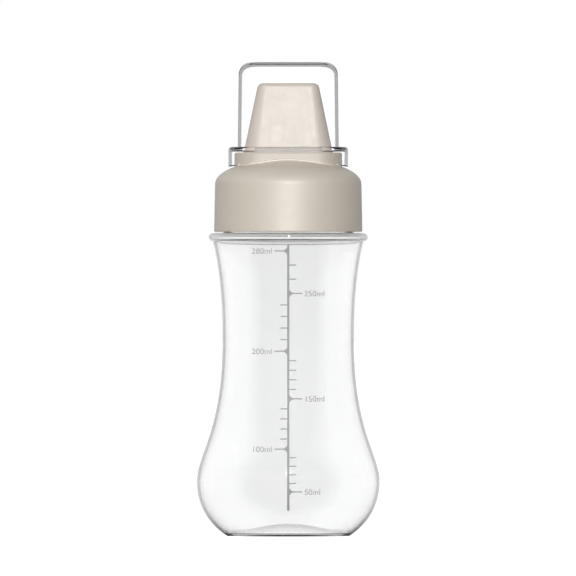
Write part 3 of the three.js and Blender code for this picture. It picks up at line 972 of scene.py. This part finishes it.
# %% The clear plastic
FROST_HALF_X = 13
FROST_HALF_Z = 0.9
FROST = 6  # how far over the pattern's own range the frosted edges are rough
SHELF_EDGE_PAINTED_SHADE = 0.36  # and how much darker their base colour is, as painted shade
TINT = 0.5
TINT_DENSITY = 12  # for each metre, so a wall stays clear and only its edge turns grey


def shelf_edge_mask(tree):
    """1 on the front and back edges of the shelf, 0 elsewhere."""
    middle_z = (shelf_z + shelf_top_z) / 2
    across = math_node(tree, "COMPARE", place_on(tree, "X"), 0, FROST_HALF_X * MM)
    upright = math_node(tree, "COMPARE", place_on(tree, "Z"), middle_z * MM, FROST_HALF_Z * MM)
    return math_node(tree, "MULTIPLY", across, upright)


def clear_plastic():
    material = new_material("clear_plastic", Transmission_Weight=1, IOR=1.42)
    tree = material.node_tree
    shader, output = tree.nodes["Principled BSDF"], tree.nodes["Material Output"]
    edge = shelf_edge_mask(tree)
    gloss = math_node(tree, "MULTIPLY_ADD", edge, FROST, noise(material, 12))
    vary_number(material, "Roughness", gloss, 0, 0.03)
    # Painted shade: the shelf's front and back edges get a darker base colour.
    tree.links.new(math_node(tree, "MULTIPLY_ADD", edge, -SHELF_EDGE_PAINTED_SHADE, 1), shader.inputs["Base Color"])
    relief(material, (noise(material, 25, detail=1), 0.01))
    tint = tree.nodes.new("ShaderNodeVolumeAbsorption")
    tint.inputs["Color"].default_value = (TINT, TINT, TINT, 1)
    tint.inputs["Density"].default_value = TINT_DENSITY
    tree.links.new(tint.outputs["Volume"], output.inputs["Volume"])
    let_light_through(material)
    return material


finish_piece(clear_cover, "cover", ["dust_cover"], clear_plastic())

# %% [markdown]
# ## The printed scale
#
# The volume scale is grey ink on the front: a spine, a short tick for every tenth millilitre and
# a long one with a flared root for every fiftieth. Its numbers are generic. Flat ribbons are
# extruded in front of the bottle, and Shrinkwrap lays them on the wall, as the ink lies.

# %% Flat ribbons
PRINT_Y = -45  # where the print is drawn, before it is laid on the wall


def ribbon(x, z, along, stations):
    """Draws a ribbon from (x, z). It is as wide as each (distance, half width) station says."""
    along = Vector((along[0], 0, along[1]))
    across = Vector((along.z, 0, along.x))
    origin = Vector((x, PRINT_Y, z))
    first, half = stations[0]
    start_point((origin + along * first - across * half) * MM)
    extrude(across * 2 * half * MM)
    bpy.ops.mesh.select_linked()
    for (before, half_before), (after, half_after) in zip(stations, stations[1:]):
        extrude(along * (after - before) * MM)
        factor = half_after / half_before
        bpy.ops.transform.resize(
            value=[factor if abs(part) > 0.5 else 1 for part in across],
            center_override=(origin + along * after) * MM,
        )


# %% The spine and its ticks
SPINE_HALF = 0.45
SPINE_LOW_Z = 10.2
SPINE_HIGH_Z = 114.2
SPINE_STEP = 1.04
TICK_HALF = 0.22
MINOR_TICK = 3.1
MAJOR_TICK = 5.4
FLARE_HALF = 1.25
FLARE_REACH = 1.6
FLARE_STEPS = 6
FLARE_END = 4.2

# Height of each mark over the foot, with its side: -1 is left, 1 is right.
major_marks = {
    280: (111.7, -1),
    250: (95.1, 1),
    200: (72.5, -1),
    150: (53.9, 1),
    100: (34.3, -1),
    50: (17.6, 1),
}


def minor_heights():
    """Heights and sides of the short ticks, which divide the way between two major marks."""
    marks = sorted(major_marks.items())
    for (low_ml, (low_z, _)), (high_ml, (high_z, side)) in zip(marks, marks[1:]):
        parts = (high_ml - low_ml) // 10
        for part in range(1, parts):
            yield low_z + (high_z - low_z) * part / parts, -side


start_point((0, PRINT_Y * MM, 0))
bpy.context.object.name = "volume_scale"
bpy.ops.mesh.delete(type="VERT")
spine_length = SPINE_HIGH_Z - SPINE_LOW_Z
spine_steps = round(spine_length / SPINE_STEP)
spine = [(spine_length * i / spine_steps, SPINE_HALF) for i in range(spine_steps + 1)]
ribbon(0, SPINE_LOW_Z, (0, 1), spine)
flare = [(0, TICK_HALF + FLARE_HALF)]
for i in range(FLARE_STEPS + 1):
    share = i / FLARE_STEPS
    flare.append((SPINE_HALF + share * FLARE_REACH, TICK_HALF + FLARE_HALF * (1 - share) ** 2))
flare += [(FLARE_END, TICK_HALF), (MAJOR_TICK, TICK_HALF)]
short_tick = [(0, TICK_HALF), (MINOR_TICK / 2, TICK_HALF), (MINOR_TICK, TICK_HALF)]
for mark_z, mark_side in major_marks.values():
    ribbon(0, mark_z, (mark_side, 0), flare)
for mark_z, mark_side in minor_heights():
    ribbon(0, mark_z, (mark_side, 0), short_tick)
bpy.ops.object.mode_set(mode="OBJECT")
volume_scale = bpy.context.object
print("scale:", len(volume_scale.data.polygons), "faces")

# %% [markdown]
# The numbers are text objects in Blender's own font, made thinner by a negative offset. Each is
# made a mesh, put beside its mark and joined to the ribbons.

# %% The numbers
DIGIT_SIZE = 3.2
DIGIT_RISE = 1.15  # half the height of a digit
TEXT_GAP = 0.8
THINNER = -0.004
LETTER_SPACING = 1.02


def number(text, z, side):
    """A number beside a mark, as a flat mesh that faces the front."""
    bpy.ops.object.select_all(action="DESELECT")
    bpy.ops.object.text_add()
    label = bpy.context.object
    label.data.body = text
    label.data.size = DIGIT_SIZE * MM
    label.data.align_x = "LEFT" if side > 0 else "RIGHT"
    label.data.offset = THINNER * DIGIT_SIZE * MM
    label.data.space_character = LETTER_SPACING
    bpy.ops.object.convert(target="MESH")
    label = bpy.context.object
    label.rotation_euler.x = math.pi / 2
    label.location = Vector((side * (MAJOR_TICK + TEXT_GAP), PRINT_Y, z - DIGIT_RISE)) * MM
    apply_place()
    return label


labels = [number(f"{ml}ml", z, side) for ml, (z, side) in major_marks.items()]
activate(volume_scale)
for label in labels:
    label.select_set(True)
bpy.ops.object.join()
print("scale with numbers:", [round(size * 1000, 1) for size in volume_scale.dimensions], "mm")

# %% Lay the print on the wall
INK_THICKNESS = 0.02

apply_modifier(
    volume_scale,
    "SHRINKWRAP",
    target=bottle_body,
    wrap_method="PROJECT",
    use_project_y=True,
    use_positive_direction=True,
    use_negative_direction=False,
    offset=INK_LIFT * MM,
)
apply_modifier(volume_scale, "SOLIDIFY", thickness=INK_THICKNESS * MM, offset=-1)
activate(volume_scale)
bpy.ops.object.mode_set(mode="EDIT")
close_mesh()


def grey_ink():
    material = new_material("grey_ink", Specular_IOR_Level=0.3)
    vary_colour(material, noise(material, 0.35), (0.38, 0.38, 0.38), (0.44, 0.44, 0.44))
    vary_number(material, "Roughness", noise(material, 1), 0.45, 0.6)
    relief(material, (noise(material, 0.12), 0.004))
    return material


finish_piece(volume_scale, "bottle", [], grey_ink())
print("front of the print: y =", round(min(v.co.y for v in volume_scale.data.vertices) / MM, 2), "mm")

# %% [markdown]
# ## The studio
#
# The photograph is a packshot on plain white. Two things are kept apart here. What is looked at,
# straight or through the plastic, is a white set behind the bottle and a dim room on the side of
# the camera: clear plastic needs that, because its edges bend the view away from the white and
# so show as grey lines. What lights dull surfaces is much weaker: a white back, which draws the
# bright rim of the cap, and a large reflector, high on the left, so that the right side is
# darker.

# %% World
BACK = (0, 1, 0)
RIM_LEVEL = 0.42  # what the rim of a clear wall shows
FRONT_LEVEL = 0.08  # what clear walls show of the dim side where the camera stands
ROOM_RAMP = (-0.8, -0.35)  # between these leans towards the back the room turns into the set
MIRROR_RAMP = (0.1, 0.95)  # and so does its mirror image in an outer face
SIDE_MIRROR = 0.1  # what outer faces mirror of the sides, less than of the back
ROOM_LEVEL = 0.03  # how much the room lights dull surfaces all round
BACK_LIGHT = 0.95  # and its white back
FILL_LIGHT = 0.74  # and a large reflector
FILL_AXIS = (-0.7, -0.5, 1)  # which hangs high on the left, a little in front
PANEL_RAMP = (0.5, 1)  # the back and the reflector are brightest in their middle
SET_LEVEL = 1.27  # the white set is a little over-exposed, so it is white through a wall too
WALL_CROSSINGS = 2.5  # a view through one wall crosses two surfaces, through two walls four


def seen_level(tree, through_level, mirror_level):
    """1 where the white set is seen, less in clear or shiny surfaces, 0 for light on dull ones."""
    path = tree.nodes.new("ShaderNodeLightPath").outputs
    far_side = math_node(tree, "GREATER_THAN", path["Transmission Depth"], WALL_CROSSINGS)
    through = math_node(tree, "MULTIPLY_ADD", far_side, SET_LEVEL - RIM_LEVEL, RIM_LEVEL)
    through = math_node(tree, "MULTIPLY", through, path["Is Transmission Ray"])
    through = math_node(tree, "MULTIPLY", through, through_level)
    mirrored = math_node(tree, "MULTIPLY", path["Is Glossy Ray"], path["Is Reflection Ray"])
    mirrored = math_node(tree, "MULTIPLY", mirrored, mirror_level)
    seen = math_node(tree, "ADD", through, mirrored)
    seen = math_node(tree, "ADD", seen, path["Is Camera Ray"])
    return math_node(tree, "MULTIPLY", seen, looked_at(tree))


def looked_at(tree):
    """1 for what the camera sees, straight or in clear and shiny surfaces, and 0 for lighting."""
    path = tree.nodes.new("ShaderNodeLightPath").outputs
    kinds = math_node(tree, "MAXIMUM", path["Is Transmission Ray"], path["Is Glossy Ray"])
    kinds = math_node(tree, "MAXIMUM", kinds, path["Is Camera Ray"])
    first = math_node(tree, "LESS_THAN", path["Diffuse Depth"], 0.5)
    return math_node(tree, "MULTIPLY", kinds, first)


def by_direction(tree, axis, limits, levels, coordinates="Generated"):
    """A level that changes with how far a direction leans towards an axis, from -1 to 1."""
    place = tree.nodes.new("ShaderNodeTexCoord")
    direction = tree.nodes.new("ShaderNodeVectorMath")
    direction.operation = "NORMALIZE"
    lean = tree.nodes.new("ShaderNodeVectorMath")
    lean.operation = "DOT_PRODUCT"
    lean.inputs[1].default_value = Vector(axis).normalized()
    ramp = tree.nodes.new("ShaderNodeMapRange")
    tree.links.new(place.outputs[coordinates], direction.inputs[0])
    tree.links.new(direction.outputs["Vector"], lean.inputs[0])
    tree.links.new(lean.outputs["Value"], ramp.inputs["Value"])
    for socket, value in zip(("From Min", "From Max", "To Min", "To Max"), (*limits, *levels)):
        ramp.inputs[socket].default_value = value
    return ramp.outputs["Result"]


world = bpy.data.worlds.new("studio")
bpy.context.scene.world = world
world.use_nodes = True
tree = world.node_tree
sky = tree.nodes["Background"]
sky.inputs["Color"].default_value = (1, 1, 1, 1)
through_level = by_direction(tree, BACK, ROOM_RAMP, (FRONT_LEVEL, 1))
mirror_level = by_direction(tree, BACK, MIRROR_RAMP, (SIDE_MIRROR, 1))
seen = seen_level(tree, through_level, mirror_level)
back_light = by_direction(tree, BACK, PANEL_RAMP, (ROOM_LEVEL, BACK_LIGHT))
fill_light = by_direction(tree, FILL_AXIS, PANEL_RAMP, (0, FILL_LIGHT))
room_light = math_node(tree, "ADD", back_light, fill_light)
lighting = math_node(tree, "SUBTRACT", 1, looked_at(tree))
level = math_node(tree, "MULTIPLY_ADD", lighting, room_light, seen)
tree.links.new(level, sky.inputs["Strength"])
print("studio:", len(tree.nodes), "world nodes")

# %% [markdown]
# The floor glows as white as the world, so that no horizon shows, and it is dull paper as well,
# which keeps the bottle's shadow. In the plastic only its glow is seen.

# %% Floor
FLOOR_SIZE = 60  # metres
FLOOR_DROP = 0.05  # just under the foot, so that the two faces don't share a place
FLOOR_GLOW = 0.97

bpy.ops.object.select_all(action="DESELECT")
bpy.ops.mesh.primitive_plane_add(size=FLOOR_SIZE, location=(0, 0, -FLOOR_DROP * MM))
floor = bpy.context.object
floor.name = "floor"
paper = new_material("pale_paper", Roughness=0.9, Specular_IOR_Level=0.1)
vary_colour(paper, noise(paper, 40), (0.59, 0.59, 0.59), (0.61, 0.61, 0.61))
tree = paper.node_tree
paper_shader = tree.nodes["Principled BSDF"]
is_camera = tree.nodes.new("ShaderNodeLightPath").outputs["Is Camera Ray"]
in_plastic = math_node(tree, "SUBTRACT", looked_at(tree), is_camera)
tone = tree.nodes.new("ShaderNodeVectorMath")
tone.operation = "SCALE"
tree.links.new(paper_shader.inputs["Base Color"].links[0].from_socket, tone.inputs[0])
tree.links.new(math_node(tree, "SUBTRACT", 1, in_plastic), tone.inputs["Scale"])
tree.links.new(tone.outputs["Vector"], paper_shader.inputs["Base Color"])
floor_mirror = by_direction(tree, BACK, MIRROR_RAMP, (SIDE_MIRROR, 1), coordinates="Object")
glow = math_node(tree, "MULTIPLY_ADD", is_camera, FLOOR_GLOW - 1, seen_level(tree, 1, floor_mirror))
paper_shader.inputs["Emission Color"].default_value = (1, 1, 1, 1)
tree.links.new(glow, paper_shader.inputs["Emission Strength"])
floor.data.materials.append(paper)
print("floor:", [round(size) for size in floor.dimensions], "m")

# %% [markdown]
# The only lamp is a tall, narrow soft box right in front, over the camera. It draws the upright
# highlight in the middle of the cap, and its mirror image in the wall hides behind the printed
# spine.

# %% Lights
TARGET = Vector((0, 0, 0.1))  # metres


def soft_box(name, place, width, height, watts):
    """An area light that is aimed at the middle of the bottle."""
    bpy.ops.object.light_add(type="AREA", location=place)
    lamp = bpy.context.object
    lamp.name = name
    lamp.data.shape = "RECTANGLE"
    lamp.data.size = width
    lamp.data.size_y = height
    lamp.data.energy = watts
    lamp.rotation_euler = (TARGET - Vector(place)).to_track_quat("-Z", "Y").to_euler()
    lamp.visible_camera = False
    return lamp


key_light = soft_box("key_light", place=(0, -1.76, 0.59), width=0.07, height=0.44, watts=20)
print("lamp:", key_light.name, key_light.data.energy, "W")

# %% [markdown]
# ## The camera
#
# The photograph is taken from far away with a long lens: upright edges stay parallel and the
# base shows no ellipse. The camera looks level, at half the picture's height.

# %% Camera
CAMERA_DISTANCE = 8.0
PICTURE_WIDTH = 0.2258  # metres across the picture, at the bottle
CAMERA_X = -0.0001
CAMERA_Z = 0.0972
CAMERA_SIGHT = 100  # metres

bpy.ops.object.camera_add(
    location=(CAMERA_X, -CAMERA_DISTANCE, CAMERA_Z), rotation=(math.pi / 2, 0, 0)
)
camera = bpy.context.object
camera.data.lens = camera.data.sensor_width * CAMERA_DISTANCE / PICTURE_WIDTH
camera.data.clip_end = CAMERA_SIGHT
bpy.context.scene.camera = camera
bpy.context.scene.view_settings.view_transform = "Standard"
print("lens:", round(camera.data.lens), "mm")
